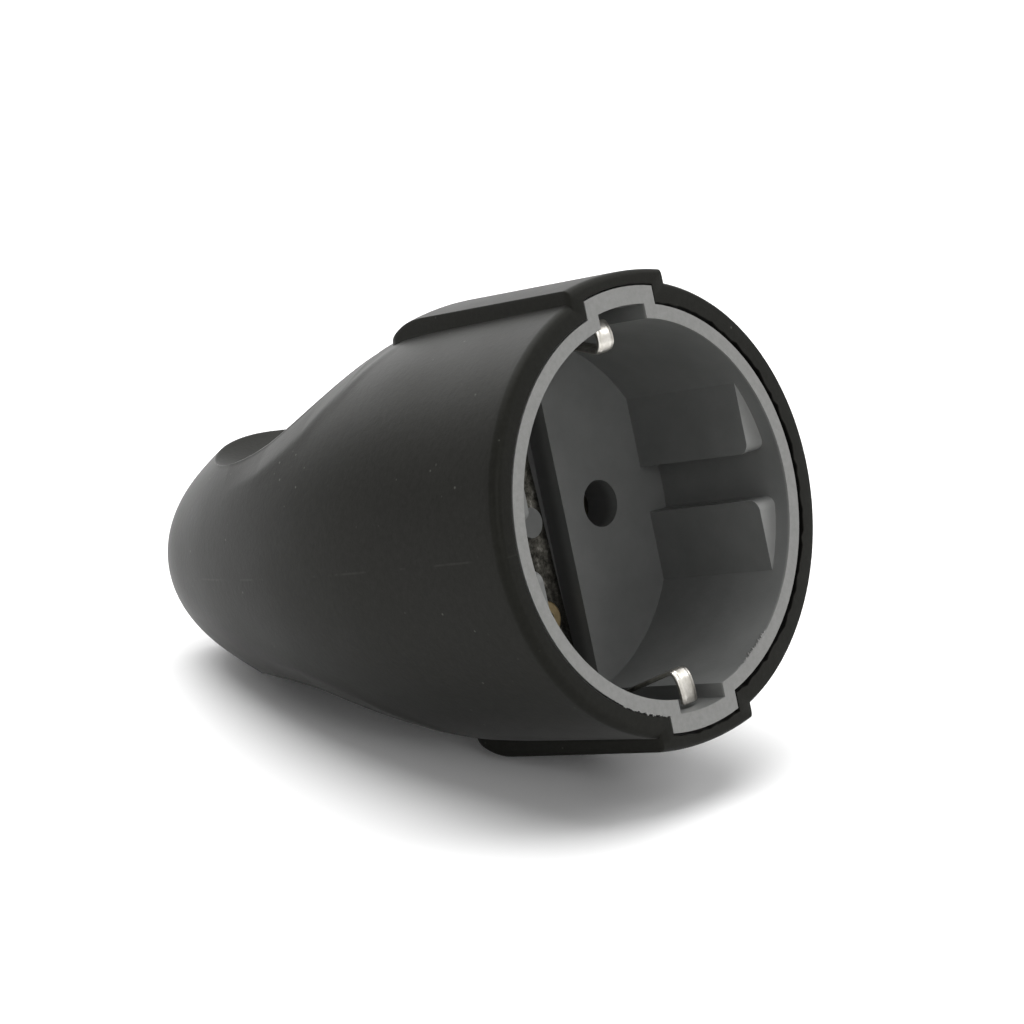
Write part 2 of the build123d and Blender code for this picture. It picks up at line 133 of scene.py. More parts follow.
def zone(tree, value, start, end, smooth=False):
    """0 to 1 as a value goes from start to end."""
    inputs = {"Value": value, "From Min": start, "From Max": end}
    kind = "SMOOTHSTEP" if smooth else "LINEAR"
    return wired(tree, "ShaderNodeMapRange", inputs, interpolation_type=kind).outputs["Result"]


def calculated(tree, operation, *values):
    """One step of arithmetic on fields or numbers."""
    return wired(tree, "ShaderNodeMath", dict(enumerate(values)), operation=operation).outputs[0]


def product(tree, first, *others):
    """Fields and numbers multiplied together."""
    for other in others:
        first = calculated(tree, "MULTIPLY", first, other)
    return first


def bumped(tree, shader, height, distance, strength):
    """Fine relief on the shader's normal, in metres of height."""
    relief = wired(tree, "ShaderNodeBump", {"Strength": strength, "Distance": distance, "Height": height})
    tree.links.new(relief.outputs["Normal"], shader.inputs["Normal"])


def finish_nodes(slot_name, material):
    """The material on every CAD node of a slot."""
    for name, node in frame["nodes"].items():
        if slot_of[name] == slot_name:
            node.data.materials.clear()
            node.data.materials.append(material)


grey_moulding, tree, shader, place = new_finish("dull_grey_moulding")
level = level_stations(tree, place)
normal = place.node.outputs["Normal"]
towards_mouth = wired(tree, "ShaderNodeVectorMath", {0: normal, 1: laid_direction((1, 0, 0))},
                      operation="DOT_PRODUCT").outputs["Value"]
facing = zone(tree, towards_mouth, *facing_band)
near_rim = zone(tree, level["X"], *mouth_band)
right_half = zone(tree, level["Y"], *right_half_band)
# painted light: faces near the rim on the right that look out of the mouth get the lighter tone
painted_light_share = product(tree, facing, near_rim, right_half)
mottle = speckle(tree, place, 220.0, 5.0)
fine = speckle(tree, place, 1600.0, 3.0, 0.7)
inside_shade_tone = ramp(tree, mottle, (0.3, 0.7), inside_shade_grey)
mouth_light_tone = ramp(tree, mottle, (0.3, 0.7), mouth_light_grey)
rim_tone = ramp(tree, fine, (0.3, 0.7), rim_grey)
# painted shade inside the recess, with the painted light near the rim mixed in
lit_and_shaded_inside = mixed(tree, painted_light_share, inside_shade_tone, mouth_light_tone)
turned_away = calculated(tree, "SUBTRACT", 1.0, facing)
# painted shade on hole walls turned away from the mouth, and under the floor
hole_wall_shade = product(tree, turned_away, zone(tree, level["X"], *hole_band, True))
painted_pit_shade = calculated(tree, "MAXIMUM", hole_wall_shade, zone(tree, level["X"], *under_floor_band))
shaded_tone = mixed(tree, painted_pit_shade, lit_and_shaded_inside, pit_shade_grey)
cup_tone = mixed(tree, zone(tree, level["X"], *rim_band), shaded_tone, rim_tone)
tree.links.new(cup_tone, shader.inputs["Base Color"])
shader.inputs["Roughness"].default_value = 0.5
bumped(tree, shader, fine, 0.00002, 0.5)
finish_nodes("grey_moulding", grey_moulding)


# Moulding flash. A thin torn skin of the cup's own plastic, squeezed into the joint of its mould and left on
# the rim: on the inner edge at the lower right, and on the outer edge at the lower left.
recess_edge, cup_edge = 19.7, 21.2
inner_flash = dict(start=142.5, end=161.5, base=recess_edge, reach=-0.85, front=-0.01, back=-0.26, seed=4)
outer_flash = dict(start=190.0, end=216.0, base=cup_edge, reach=0.55, front=0.05, back=-0.12, seed=9)
flash_steps, flash_root = 110, 0.06


def laid(points_mm):
    """Level millimetres to metres in the frame: turned by the lean about Y and moved to the rim's centre."""
    return np.asarray(points_mm, float) @ level_axes.T / 1000 + rim_centre


def polar(x, radius, angle):
    """Level points at a station, a radius and an angle from the upper middle plane through the right side."""
    return np.stack(np.broadcast_arrays(x, radius * np.sin(angle), radius * np.cos(angle)), -1)


def grid_faces(rows, columns, close_rows, close_columns):
    """Quads of a grid: each corner with its neighbours in the next row and column, wrapped where closed."""
    i, j = np.meshgrid(np.arange(rows if close_rows else rows - 1),
                       np.arange(columns if close_columns else columns - 1), indexing="ij")
    down, right = (i + 1) % rows, (j + 1) % columns
    quads = np.stack([i * columns + j, i * columns + right, down * columns + right, down * columns + j], -1)
    return quads.reshape(-1, 4)


def weld(mesh, gap=1e-6):
    """Corners that lie together become one, faces left without area go, and all faces are turned outwards."""
    work = bmesh.new()
    work.from_mesh(mesh)
    bmesh.ops.remove_doubles(work, verts=work.verts, dist=gap)
    bmesh.ops.dissolve_degenerate(work, edges=work.edges, dist=gap)
    bmesh.ops.recalc_face_normals(work, faces=work.faces)
    work.to_mesh(mesh)
    work.free()


def grid_piece(name, grids, material, sharp_angle, plate=((), ())):
    """One piece from level grids, each a (points, close rows, close columns) triple, after the points and
    faces of a plate where one is given. It is smooth but for edges sharper than the angle."""
    points, faces = laid(np.reshape(plate[0], (-1, 3))).tolist(), list(plate[1])
    for grid, close_rows, close_columns in grids:
        faces += (grid_faces(*grid.shape[:2], close_rows, close_columns) + len(points)).tolist()
        points += laid(grid.reshape(-1, 3)).tolist()
    mesh = bpy.data.meshes.new(name)
    mesh.from_pydata(points, [], faces)
    weld(mesh)
    mesh.polygons.foreach_set("use_smooth", np.ones(len(mesh.polygons), bool))
    mesh.set_sharp_from_angle(angle=np.radians(sharp_angle))
    mesh.update()
    mesh.materials.append(material)
    piece = bpy.data.objects.new(name, mesh)
    bpy.context.scene.collection.objects.link(piece)
    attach(piece, "root")
    return piece


def torn_skin(start, end, base, reach, front, back, seed):
    """A thin fin round the rim: from the base radius it reaches in or out by a smoothed random share of the
    reach, between two stations, and both its reach and its thickness fall to nothing at its two ends."""
    share = np.linspace(0, 1, flash_steps)
    angle = np.radians(start + (end - start) * share)
    taper = np.sqrt(np.clip(np.sin(np.pi * share), 0, 1))
    torn = np.convolve(np.random.default_rng(seed).random(flash_steps), [0.2, 0.6, 0.2], "same") ** 1.8
    torn = torn * (0.45 + 0.55 * np.sin(9 * np.pi * share) ** 2)
    root = base - flash_root * np.sign(reach) * taper
    edge = base + reach * torn * taper
    middle = (front + back) / 2
    rows = [(front, root), (front, edge), (back, edge), (back, root)]
    return np.stack([polar(middle + (x - middle) * taper, radius, angle) for x, radius in rows])


grid_piece("rim_flash", [(torn_skin(**inner_flash), True, False), (torn_skin(**outer_flash), True, False)],
           grey_moulding, 30)


# Earth strap. A flat strip of nickel-plated metal, punched to go over the post and held by the rivet, with
# darker tones from a few millimetres behind the rim down into its groove. Each end is folded up through a
# keyway into a springy clip that is curled at its tip, with a raised band pressed down its middle.
groove_depth, strap_thickness, strap_half, strap_reach = 21.1, 0.6, 2.8, 18.4
strap_turn, strap_easing = np.radians(2.4), 0.08
post_hole, rivet_hole, rivet_offset = 1.75, 1.36, 10.6
# the clips' middle lines as (depth below the rim, distance from the middle), and how far each corner is eased
upper_clip = [(20.85, 17.4), (20.85, 20.45), (15.6, 20.45), (3.0, 17.05),
              (2.42, 17.75), (2.35, 18.6), (2.6, 19.4), (3.05, 20.15)]
lower_clip = [(20.85, 17.4), (20.85, 20.45), (15.6, 20.45), (3.3, 17.2),
              (2.82, 17.9), (2.65, 18.8), (2.6, 19.8), (2.7, 20.8)]
clip_cuts = [1.1, 1.6, 0.42, 0.3, 0.4, 0.35]
clip_half, clip_thickness, clip_side_rounding = 1.16, 0.42, 0.15
root_step, tip_corner, tip_thinning = 0.02, 0.4, 0.12
tip_steps = np.array([0.42, 0.34, 0.26, 0.18, 0.11, 0.06, 0.025, 0.006, 0])
band_middle = [0.5, 0.25, 0, -0.25, -0.5]
band_sides, band_rise = [0.62, 0.7, 0.78, 0.86], [0.09, 0.075, 0.015, 0]
worn_nickel, bright_nickel = (0.36, 0.34, 0.30), (0.62, 0.60, 0.56)
deep_strap_tones = (0.020, 0.019, 0.016), (0.075, 0.072, 0.062), (0.24, 0.23, 0.21)
deep_strap_band = -0.0105, -0.0035


def drifting(tree, shader, place, worn, bright, roughness, scale, metallic=1.0):
    """Tone, gloss and fine relief that drift together over a piece, from a worn colour to a bright one."""
    drift = speckle(tree, place, scale, 6.0, 0.65)
    tone = ramp(tree, drift, (0.3, 0.68), (worn, bright))
    gloss = ramp(tree, drift, (0.3, 0.68), (roughness + 0.15, roughness))
    tree.links.new(tone, shader.inputs["Base Color"])
    tree.links.new(gloss, shader.inputs["Roughness"])
    shader.inputs["Metallic"].default_value = metallic
    bumped(tree, shader, drift, 0.00002, 0.3)
    return tone


def turned_in_groove(points):
    """Level points turned about X by the strap's small turn."""
    x, y, z = np.moveaxis(points, -1, 0)
    c, s = np.cos(strap_turn), np.sin(strap_turn)
    return np.stack([x, c * y - s * z, s * y + c * z], -1)


def plate(corners, holes, thickness, rounding):
    """Points and faces of a flat plate in its own XY plane: a filled outline with round (x, y, radius) holes,
    given its thickness, with every edge rounded inside the outline."""
    curve = bpy.data.curves.new("plate", "CURVE")
    curve.dimensions, curve.fill_mode = "2D", "BOTH"
    curve.extrude, curve.bevel_depth, curve.bevel_resolution = thickness / 2 - rounding, rounding, 2
    turn = np.linspace(0, 2 * np.pi, 49)[:-1]
    rings = [np.array(corners, float)]
    rings += [np.stack([x + (r + rounding) * np.cos(turn), y + (r + rounding) * np.sin(turn)], -1)
              for x, y, r in holes]
    for ring in rings:
        spline = curve.splines.new("POLY")
        spline.points.add(len(ring) - 1)
        spline.points.foreach_set("co", np.column_stack([ring, np.tile([0.0, 1.0], (len(ring), 1))]).ravel())
        spline.use_cyclic_u = True
    holder = bpy.data.objects.new("plate", curve)
    mesh = bpy.data.meshes.new_from_object(holder)
    points = np.empty(len(mesh.vertices) * 3)
    mesh.vertices.foreach_get("co", points)
    faces = [list(face.vertices) for face in mesh.polygons]
    bpy.data.objects.remove(holder)
    bpy.data.curves.remove(curve)
    bpy.data.meshes.remove(mesh)
    return points.reshape(-1, 3), faces


def eased_path(corners, cuts, steps=9):
    """A path through corners, each cut by a parabola that starts and ends the given length from it."""
    corners = np.array(corners, float)
    t = np.linspace(0, 1, steps)[:, None]
    runs = [corners[:1]]
    for before, corner, after, cut in zip(corners[:-2], corners[1:-1], corners[2:], cuts):
        a = corner + cut * (before - corner) / np.linalg.norm(before - corner)
        b = corner + cut * (after - corner) / np.linalg.norm(after - corner)
        runs.append((1 - t) ** 2 * a + 2 * t * (1 - t) * corner + t ** 2 * b)
    return np.concatenate(runs + [corners[-1:]])


def clip_grid(corners, side):
    """The clip's section carried along its path: a flat band with rounded edges and a raised middle, whose
    width and thickness fall to nothing round the tip, and its thickness at the hidden root."""
    path = eased_path(corners, clip_cuts)
    last_run = path[-2] - path[-1]
    tip = path[-1] + last_run * (tip_steps / np.linalg.norm(last_run))[:, None]
    path = np.concatenate([path[:1], path[:1] + (path[1] - path[0]) * root_step, path[1:-1], tip])
    run = np.concatenate([[0], np.cumsum(np.linalg.norm(np.diff(path, axis=0), axis=1))])
    left = run[-1] - run
    heading = np.gradient(path, run, axis=0)
    heading /= np.linalg.norm(heading, axis=1)[:, None]
    width = clip_half - tip_corner + np.sqrt(tip_corner ** 2 - np.clip(tip_corner - left, 0, tip_corner) ** 2)
    thick = np.sqrt(1 - (np.clip(tip_thinning - left, 0, tip_thinning) / tip_thinning) ** 2)
    thick[0] = 0

    turn = np.linspace(0, np.pi / 2, 5)
    half = clip_thickness / 2
    edge_v = np.concatenate([clip_half - clip_side_rounding * (1 - np.cos(turn)), band_sides[::-1]])
    edge_h = half - clip_side_rounding * (1 - np.sin(turn))
    v = np.concatenate([edge_v, band_middle, -edge_v[::-1]])
    h_low = np.concatenate([edge_h, np.full(len(v) - 2 * len(edge_h), half), edge_h[::-1]])
    h_top = h_low + np.interp(np.abs(v), band_sides, band_rise)
    v, h = np.concatenate([v, v[::-1]]), np.concatenate([h_top, -h_low[::-1]])

    x = -path[:, :1] + heading[:, 1:] * h * thick[:, None]
    radius = path[:, 1:] + heading[:, :1] * h * thick[:, None]
    y = v / clip_half * width[:, None]
    return turned_in_groove(np.stack(np.broadcast_arrays(x, y, side * radius), -1))


nickel, tree, shader, place = new_finish("plated_strip")
fresh = drifting(tree, shader, place, worn_nickel, bright_nickel, 0.3, 900.0)
# the strap turns to darker tones the deeper it lies behind the rim
deep_strap_tone = ramp(tree, speckle(tree, place, 900.0, 6.0, 0.75), (0.40, 0.58, 0.76), deep_strap_tones)
bright_zone = zone(tree, level_stations(tree, place)["X"], *deep_strap_band, True)
tree.links.new(mixed(tree, bright_zone, deep_strap_tone, fresh), shader.inputs["Base Color"])
finish_nodes("nickel_strip", nickel)

plate_half, plate_reach = strap_half - strap_easing, strap_reach - strap_easing
strip_points, strip_faces = plate([(-plate_half, -plate_reach), (plate_half, -plate_reach),
                                   (plate_half, plate_reach), (-plate_half, plate_reach)],
                                  [(0, 0, post_hole), (0, -rivet_offset, rivet_hole)],
                                  strap_thickness, strap_easing)
strip_middle = groove_depth - strap_thickness / 2
strip_points = np.stack([strip_points[:, 2] - strip_middle, strip_points[:, 0], strip_points[:, 1]], -1)
clips = [(clip_grid(upper_clip, 1), False, True), (clip_grid(lower_clip, -1), False, True)]
strap = grid_piece("earth_strip", clips, nickel, 38,
                   (turned_in_groove(strip_points), strip_faces))
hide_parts("earth_strap")


# Rivet, forks and terminals. Plain brass: a tubular rivet clenched through the strap and the cup's floor, a
# folded fork behind each pin hole, and the block and the two frames that take the wires.
worn_brass, bright_brass = (0.20, 0.15, 0.08), (0.44, 0.34, 0.19)
brass, tree, shader, place = new_finish("plain_brass")
drifting(tree, shader, place, worn_brass, bright_brass, 0.28, 900.0)
finish_nodes("brass", brass)


# Springs, screws and nuts. Zinc-plated steel: bent bands that press the forks together, turned screws in the
# terminals, the carrier and the cord clamp, and square nuts under the clamp's saddle.
worn_zinc, bright_zinc = (0.38, 0.38, 0.38), (0.60, 0.60, 0.60)
zinc, tree, shader, place = new_finish("zinc_plated_steel")
drifting(tree, shader, place, worn_zinc, bright_zinc, 0.32, 700.0)
finish_nodes("steel", zinc)


# Carrier and cord clamp. A pale moulding with chambers for the forks, screwed to the back of the cup, and the
# moulded bridge that its two screws draw down on the cord. Both are hidden in the rubber.
pale_low, pale_high = (0.30, 0.29, 0.25), (0.36, 0.35, 0.31)
pale_moulding, tree, shader, place = new_finish("pale_moulding")
drifting(tree, shader, place, pale_low, pale_high, 0.5, 300.0, metallic=0.0)
finish_nodes("carrier_moulding", pale_moulding)


# Rubber housing. One thick-walled moulding of dusty black rubber, slipped over the finished insert from the
# mouth to the cord hole. It has two crowned wings over the keyways, two thumb hollows with a thin bright rim
# and a soft flat beside each, and a lip that is soft on the left, and sharp and ragged on the right.
body_length = 76.3
outline = np.array([(-body_length, 5.3), (-71.0, 9.9), (-62.8, 14.1), (-45.0, 20.1),
                    (-27.0, 23.0), (-12.0, 23.5), (0, 23.65)])
hollow_x, hollow_z, hollow_arc, hollow_swing = -49.21, 30.24, 21.1, 43.14
hollow_rounding, beyond_hollow = 0.26, 99.0
bead_height, bead_width, bead_offset = 0.05, 0.0075, 0.006
# lower edge of the soft flat beside the hollow: station and degrees from the middle plane
flat_edge = np.array([(-60, 61), (-47, 60), (-41.8, 58.6), (-37, 54.1), (-33.9, 50),
                      (-31.1, 42.6), (-28.6, 36.3), (-25.2, 22.3), (-24, 18)])
flat_depth, flat_ridge, flat_ridge_width = 0.55, 0.08, 0.08
flat_stations, flat_shares = [-50.0, -42.0, -27.5, -24.5], [0, 1, 1, 0]
wing_crest, wing_crown, wing_half, wing_foot = 24.75, 34.0, 7.1, np.radians(17.7)
wing_length, wing_plan_rounding, wing_end_rounding, wing_end_run = 28.6, 2.0, 8.0, 6.0
wing_side_rounding, wing_foot_rounding = 0.5, 0.1
lip_soft, lip_sharpened, lip_station = 0.95, 0.7, -0.5
tail_rounding, cord_hole, hole_chamfer, hole_middle = 0.35, 4.6, 0.15, -70.0
funnel_start, funnel_end, funnel_radius = -53.4, -59.4, 6.7
chamber_half, chamber_height, chamber_rounding, chamber_front = 15.0, 7.0, 1.6, -31.0
step_radius, step_front = 16.4, -25.0
bore_radius, rib_half, rib_radius, rib_start = 21.3, 5.2, 23.2, -22.6
# the gap round the cup: its least width and small waves all round, its width and torn waves on the right
gap_least, gap_waves, gap_right, gap_torn, mouth_chamfer = 0.03, 0.05, 0.24, 0.32, 0.07


def smooth_low(a, b, width):
    """The lower of a and b, with a rounded change-over of the given width (a quadratic blend)."""
    share = np.clip(0.5 + 0.5 * (b - a) / width, 0, 1)
    return b * (1 - share) + a * share - width * share * (1 - share)


def smooth_high(a, b, width):
    """The higher of a and b, with a rounded change-over."""
    return -smooth_low(-a, -b, width)


def through_points(knots, samples):
    """A natural cubic spline through (x, r) points, with the chord length as its parameter."""
    t = np.concatenate([[0], np.cumsum(np.hypot(*np.diff(knots, axis=0).T))])
    n, h = len(t), np.diff(t)
    system = np.eye(n)
    load = np.zeros((n, knots.shape[1]))
    for k in range(1, n - 1):
        system[k, k - 1:k + 2] = h[k - 1], 2 * (h[k - 1] + h[k]), h[k]
        load[k] = 6 * ((knots[k + 1] - knots[k]) / h[k] - (knots[k] - knots[k - 1]) / h[k - 1])
    bend = np.linalg.solve(system, load)
    s = np.linspace(0, t[-1], samples)
    k = np.clip(np.searchsorted(t, s) - 1, 0, n - 2)
    a, b, step = (t[k + 1] - s)[:, None], (s - t[k])[:, None], h[k][:, None]
    return ((bend[k] * a ** 3 + bend[k + 1] * b ** 3) / (6 * step)
            + (knots[k] / step - bend[k] * step / 6) * a + (knots[k + 1] / step - bend[k + 1] * step / 6) * b)


outline_line = through_points(outline, 4000)


def barrel_radius(x):
    """Radius of the spun outline at a station."""
    return np.interp(x, outline_line[:, 0], outline_line[:, 1])


def hollow_reach(x):
    """Distance of the hollow's floor from the axis it is swung about: the arc's height plus the swing's
    offset, and 0 beyond the arc."""
    inside = np.clip(hollow_arc ** 2 - (x - hollow_x) ** 2, 0, None)
    return np.where(inside > 0, np.sqrt(inside) + hollow_swing - hollow_z, 0)


def rim_angle(x):
    """Angle from the middle plane at which the hollow leaves the barrel: where the two circles of a section
    cross, and 0 where there is no hollow."""
    radius, reach = barrel_radius(x), hollow_reach(x)
    height = (radius ** 2 - reach ** 2 + hollow_swing ** 2) / (2 * hollow_swing)
    return np.where(reach > 0, np.arccos(np.clip(height / radius, -1, 1)), 0)


def wing_radius(x, s, c):
    """Radius of a wing's outside, from the sine and cosine of the angle: a crowned arc between straight
    sides, which sinks along an arc over the wing's last run and is rounded in plan at its very end."""
    past_plan = np.clip(-x - (wing_length - wing_plan_rounding), 0, wing_plan_rounding)
    past_crown = np.clip(-x - (wing_length - wing_end_run), 0, wing_end_run)
    half = wing_half - wing_plan_rounding + np.sqrt(wing_plan_rounding ** 2 - past_plan ** 2)
    drop = wing_end_rounding - np.sqrt(wing_end_rounding ** 2 - past_crown ** 2)
    middle = wing_crest - wing_crown - drop
    crown = middle * c + np.sqrt(wing_crown ** 2 - (middle * s) ** 2)
    wing = smooth_low(crown, half / np.maximum(s, 1e-6), wing_side_rounding)
    return np.where(x > -wing_length, wing, 0)


def housing_radius(x, angle):
    """Radius of the rubber's outside at a station and an angle from the middle plane: the spun outline, eased
    by the soft flats, cut by the swung arc of the hollow behind its bead, and raised by the wing."""
    s, c = np.abs(np.sin(angle)), np.abs(np.cos(angle))
    turn, rim = np.arctan2(s, c), rim_angle(x)
    edge = np.radians(np.interp(x, flat_edge[:, 0], flat_edge[:, 1]))
    share = np.clip((turn - rim) / np.maximum(edge - rim, 0.02), 0, 1)
    dip = flat_depth * (1 - share) - flat_ridge * np.exp(-((turn - edge) / flat_ridge_width) ** 2)
    bead = bead_height * np.exp(-((turn - rim - bead_offset) / bead_width) ** 2) * (rim > 0.05)
    radius = barrel_radius(x) - np.interp(x, flat_stations, flat_shares) * dip + bead
    reach = hollow_reach(x)
    root = reach ** 2 - (hollow_swing * s) ** 2
    floor = np.where(root > 0, hollow_swing * c - np.sqrt(np.clip(root, 0, None)), beyond_hollow)
    radius = smooth_low(radius, floor, hollow_rounding)
    return smooth_high(radius, wing_radius(x, s, c), wing_foot_rounding)


def quarter_angles(feature):
    """Angles from the middle plane to the side for each station, crowded round the line that needs them."""
    crowd = np.radians([-2.4, -2.0, -1.7, -1.45, -1.25, -1.1, -0.95, -0.8, -0.6, -0.4, -0.2,
                        0, 0.2, 0.4, 0.7, 1.1, 1.7])
    inner = np.linspace(0, 1, 11)[None, :-1] * (feature[:, None] + crowd[0])
    last = feature[:, None] + crowd[-1]
    outer = last + np.linspace(0, 1, 42)[None, 1:] ** 1.15 * (np.pi / 2 - last)
    return np.concatenate([inner, feature[:, None] + crowd, outer], 1)


def whole_turn(feature):
    """A quarter's angles mirrored to the whole turn, from the upper middle plane through the right side."""
    quarter = quarter_angles(feature)
    half = np.concatenate([quarter, np.pi - quarter[:, -2::-1]], 1)
    return np.concatenate([half, 2 * np.pi - half[:, -2:0:-1]], 1)


# the skin from the lip to the tail, with its columns crowded round the hollow's rim and the wing's foot
tail_start = -body_length + tail_rounding
stations = np.concatenate([np.linspace(start, end, count) for start, end, count in [
    (-1.0, -24, 30), (-24.2, -27.2, 20), (-27.3, -28.7, 22), (-28.85, -31, 16),
    (-31.3, -60.5, 82), (-60.7, -63.4, 20), (-63.8, tail_start, 26)]])
feature = smooth_high(rim_angle(stations), np.full(len(stations), wing_foot), 0.06)
feature = np.where(stations > -wing_length, wing_foot, feature)
skin_angles = whole_turn(feature)
skin = polar(stations[:, None], housing_radius(stations[:, None], skin_angles), skin_angles)

# the lip, rounded from the flat front face to the skin
lip_turn = np.radians([90, 78, 64, 50, 36, 22, 10])
lip_angles = whole_turn(np.full(len(lip_turn), wing_foot))
lip_rounding = lip_soft - lip_sharpened * np.clip(0.5 + 0.9 * np.sin(lip_angles - 0.1), 0, 1)
lip_x = -lip_rounding * (1 - np.sin(lip_turn))[:, None]
lip_radius = housing_radius(np.full((1, 1), lip_station), lip_angles)
lip_radius = lip_radius - lip_rounding * (1 - np.cos(lip_turn))[:, None]
lip = polar(lip_x, lip_radius, lip_angles)

# the tail's rounding, and the cord hole as far as the funnel
tail_turn = np.radians([15, 35, 55, 75, 90])
tail_x = np.concatenate([tail_start - tail_rounding * np.sin(tail_turn),
                         [-body_length, -body_length + hole_chamfer, hole_middle, funnel_end,
                          funnel_start, funnel_start]])
tail_radius = np.concatenate([barrel_radius(tail_start) - tail_rounding * (1 - np.cos(tail_turn)),
                              [cord_hole + hole_chamfer, cord_hole, cord_hole, cord_hole,
                               funnel_radius, funnel_radius]])
tail_angles = whole_turn(np.full(len(tail_x), wing_foot))
tail = polar(tail_x[:, None], tail_radius[:, None], tail_angles)

# inside, from the cord clamp's chamber forward: a rounded box, two steps, the bore with the ribs' channels
bore_angles = whole_turn(np.full(1, np.arcsin(rib_half / bore_radius)))
s, c = np.abs(np.sin(bore_angles)), np.abs(np.cos(bore_angles))
chamber = smooth_low(chamber_half / np.maximum(s, 1e-6), chamber_height / np.maximum(c, 1e-6),
                     chamber_rounding)
ribbed_bore = np.maximum(bore_radius, np.minimum(rib_radius, rib_half / np.maximum(s, 1e-6)))
right_side = np.clip(np.sin(bore_angles - 0.25), 0, 1) ** 0.5
ragged = (0.5 + 0.5 * np.sin(9 * bore_angles + 1.3) * np.sin(23 * bore_angles)
          + 0.35 * np.sin(61 * bore_angles) + 0.2 * np.sin(97 * bore_angles))
mouth_gap = (gap_least + gap_waves * np.sin(37 * bore_angles + 2) ** 2
             + (gap_right + gap_torn * np.clip(ragged, 0, 1.3)) * right_side)
inside = [(funnel_start, chamber), (chamber_front, chamber), (chamber_front, step_radius),
          (step_front, step_radius), (step_front, bore_radius), (rib_start, bore_radius),
          (rib_start, ribbed_bore), (-5.0, ribbed_bore), (-3.0, ribbed_bore + 0.7 * mouth_gap),
          (-1.0, ribbed_bore + 0.9 * mouth_gap), (-0.08, ribbed_bore + mouth_gap),
          (0, ribbed_bore + mouth_gap + mouth_chamfer)]
bore = np.concatenate([polar(x, radius, bore_angles) for x, radius in inside])

film_tones = (0.0044, 0.0044, 0.0034), (0.0068, 0.0068, 0.0054)
grain_tones = (0.003, 0.003, 0.002), (0.015, 0.015, 0.013)
# the last tone here is painted shade for the gap round the cup
dust_tone, parting_tone, gap_shade_tone = (0.07, 0.07, 0.062), (0.035, 0.035, 0.031), (0.0006, 0.0006, 0.0005)
seam_band, gap_radius_band = (0.00016, 0.00004), (0.0224, 0.0222)
face_band, gap_depth_band = (-0.00001, -0.00009), (-0.0065, -0.0060)
black_rubber, tree, shader, place = new_finish("dusty_black_rubber")
cloud = speckle(tree, place, 45.0, 3.0)
grain = speckle(tree, place, 1400.0, 3.0, 0.7)
film = ramp(tree, cloud, (0.3, 0.7), film_tones, True)
grained = mixed(tree, 0.25, film, ramp(tree, grain, (0.35, 0.7), grain_tones))
cells = wired(tree, "ShaderNodeTexVoronoi", {"Vector": place, "Scale": 480.0}).outputs["Distance"]
dust = ramp(tree, cells, (0.0, 0.05, 0.085), (1, 0.6, 0))
rare = ramp(tree, speckle(tree, place, 130.0, 2.0), (0.47, 0.58), (0, 1))
dusty = mixed(tree, mixed(tree, 1.0, dust, rare, "MULTIPLY"), grained, dust_tone)

# a faint broken parting line along both sides, and painted shade in the ragged gap round the cup: the bore
# just inside the lip is painted near-black and made fully rough
level = level_stations(tree, place)
seam = zone(tree, calculated(tree, "ABSOLUTE", level["Z"]), *seam_band)
broken = zone(tree, speckle(tree, place, 260.0, 3.0), 0.47, 0.60)
lined = mixed(tree, product(tree, seam, broken, 0.35), dusty, parting_tone)
squares = [calculated(tree, "POWER", level[side], 2.0) for side in ("Y", "Z")]
from_axis = calculated(tree, "SQRT", calculated(tree, "ADD", *squares))
behind_face = zone(tree, level["X"], *face_band)
near_mouth = zone(tree, level["X"], *gap_depth_band)
gap_shade_share = product(tree, behind_face, near_mouth, zone(tree, from_axis, *gap_radius_band))
dull = ramp(tree, cloud, (0.3, 0.7), (0.42, 0.52))
# painted shade: the gap's wall just inside the lip is near-black
tree.links.new(mixed(tree, gap_shade_share, lined, gap_shade_tone), shader.inputs["Base Color"])
tree.links.new(calculated(tree, "MAXIMUM", gap_shade_share, dull), shader.inputs["Roughness"])
shader.inputs["Specular IOR Level"].default_value = 0.10
shader.inputs["Specular Tint"].default_value = (1.0, 1.0, 0.93, 1)
shader.inputs["Sheen Weight"].default_value = 0.09
shader.inputs["Sheen Roughness"].default_value = 0.35
bumped(tree, shader, grain, 0.00003, 0.6)

rubber = grid_piece("rubber_body", [(np.concatenate([lip, skin, tail, bore]), True, True)],
                    black_rubber, 42)
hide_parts("rubber_housing")


# Studio. A sheet of white paper under the connector, soft windows low on the left, on the right, in front
# and behind, and a wide roof light. The surround is dim; only the camera and the gloss see it pure white.
paper_tone, paper_seen, paper_glow, paper_half = (0.5, 0.5, 0.49), (0.98, 0.98, 0.98), 0.015, 3
dim_below, dim_above = 0.04, 0.5
mouth_point, body_point = (0.03, 0, 0.03), (-0.02, 0, 0.03)
windows = [("window_left", (0.12, -0.95, 0.22), mouth_point, 0.45, 0.9),
           ("window_right", (0.62, 0.75, 0.80), mouth_point, 0.6, 3.5),
           ("window_front", (0.95, -0.40, 0.45), mouth_point, 0.4, 2.3),
           ("window_behind", (-0.95, 0.25, 0.48), body_point, 0.8, 4.5)]
roof_direction, roof_power, roof_width = (-0.24, 0.10, 0.96), 3.1, np.radians(66)
focal_pixels, frame_pixels, sensor_mm = 3022.4, 1024, 36.0
camera_place, camera_ahead = (213.9, -223.8, 30.8), (-0.7227, 0.6853, -0.09)
camera_right = 0.6866, 0.697, -0.2065


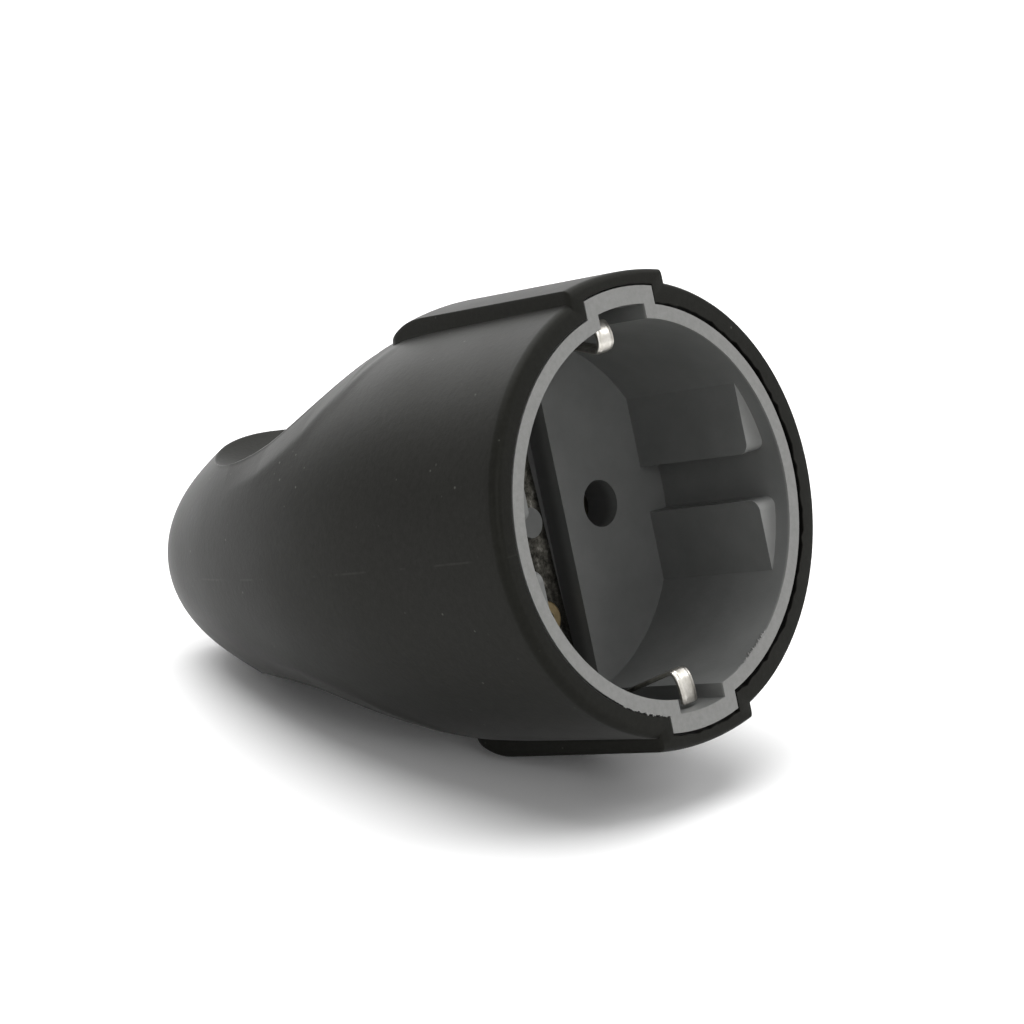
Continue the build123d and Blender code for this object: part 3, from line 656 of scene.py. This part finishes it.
def seen_directly(tree):
    """1 for rays from the camera, from gloss and through clear pieces, and 0 for light falling on things."""
    rays = tree.nodes.new("ShaderNodeLightPath").outputs
    direct = calculated(tree, "MAXIMUM", rays["Is Camera Ray"], rays["Is Glossy Ray"])
    return calculated(tree, "MAXIMUM", direct, rays["Is Transmission Ray"])


paper, tree, shader, place = new_finish("white_paper")
seen = seen_directly(tree)
tree.links.new(mixed(tree, seen, paper_tone, paper_seen), shader.inputs["Base Color"])
shader.inputs["Roughness"].default_value = 0.9
shader.inputs["Specular IOR Level"].default_value = 0.1
glow = wired(tree, "ShaderNodeEmission", {"Color": (1, 1, 1), "Strength": product(tree, seen, paper_glow)})
both = wired(tree, "ShaderNodeAddShader", {0: shader.outputs[0], 1: glow.outputs[0]})
tree.links.new(both.outputs[0], tree.nodes["Material Output"].inputs["Surface"])
sheet_mesh = bpy.data.meshes.new("floor")
sheet_mesh.from_pydata([(-paper_half, -paper_half, 0), (paper_half, -paper_half, 0),
                        (paper_half, paper_half, 0), (-paper_half, paper_half, 0)], [], [(0, 1, 2, 3)])
sheet_mesh.materials.append(paper)
floor = bpy.data.objects.new("floor", sheet_mesh)
bpy.context.scene.collection.objects.link(floor)

world = bpy.data.worlds.new("surround")
bpy.context.scene.world = world
world.use_nodes = True
tree = world.node_tree
around = tree.nodes.new("ShaderNodeTexCoord").outputs["Generated"]
height = wired(tree, "ShaderNodeSeparateXYZ", {"Vector": around}).outputs["Z"]
dim = wired(tree, "ShaderNodeMapRange", {"Value": height, "To Min": dim_below, "To Max": dim_above})
strength = wired(tree, "ShaderNodeMapRange", {"Value": seen_directly(tree), "To Max": 1.0,
                                              "To Min": dim.outputs["Result"]})
tree.nodes["Background"].inputs["Color"].default_value = (1, 1, 1, 1)
tree.links.new(strength.outputs["Result"], tree.nodes["Background"].inputs["Strength"])

for name, place_m, aim, size, power in windows:
    lamp = bpy.data.lights.new(name, "AREA")
    lamp.shape, lamp.size, lamp.energy = "SQUARE", size, power
    holder = bpy.data.objects.new(name, lamp)
    holder.location = place_m
    holder.rotation_euler = (Vector(aim) - Vector(place_m)).to_track_quat("-Z", "Y").to_euler()
    bpy.context.scene.collection.objects.link(holder)
roof_lamp = bpy.data.lights.new("roof_light", "SUN")
roof_lamp.energy, roof_lamp.angle = roof_power, roof_width
roof = bpy.data.objects.new("roof_light", roof_lamp)
roof.rotation_euler = Vector(roof_direction).to_track_quat("Z", "Y").to_euler()
bpy.context.scene.collection.objects.link(roof)

camera_data = bpy.data.cameras.new("camera")
camera_data.sensor_width, camera_data.lens = sensor_mm, focal_pixels * sensor_mm / frame_pixels
right, ahead = laid_direction(camera_right), laid_direction(camera_ahead)
right = (right - right.dot(ahead) / ahead.dot(ahead) * ahead).normalized()
ahead.normalize()
axes = Matrix((right, right.cross(ahead), -ahead)).transposed().to_4x4()
camera = bpy.data.objects.new("camera", camera_data)
camera.matrix_world = Matrix.Translation(Vector(laid(camera_place))) @ axes
bpy.context.scene.collection.objects.link(camera)
bpy.context.scene.camera = camera
bpy.context.scene.view_settings.view_transform = "Standard"
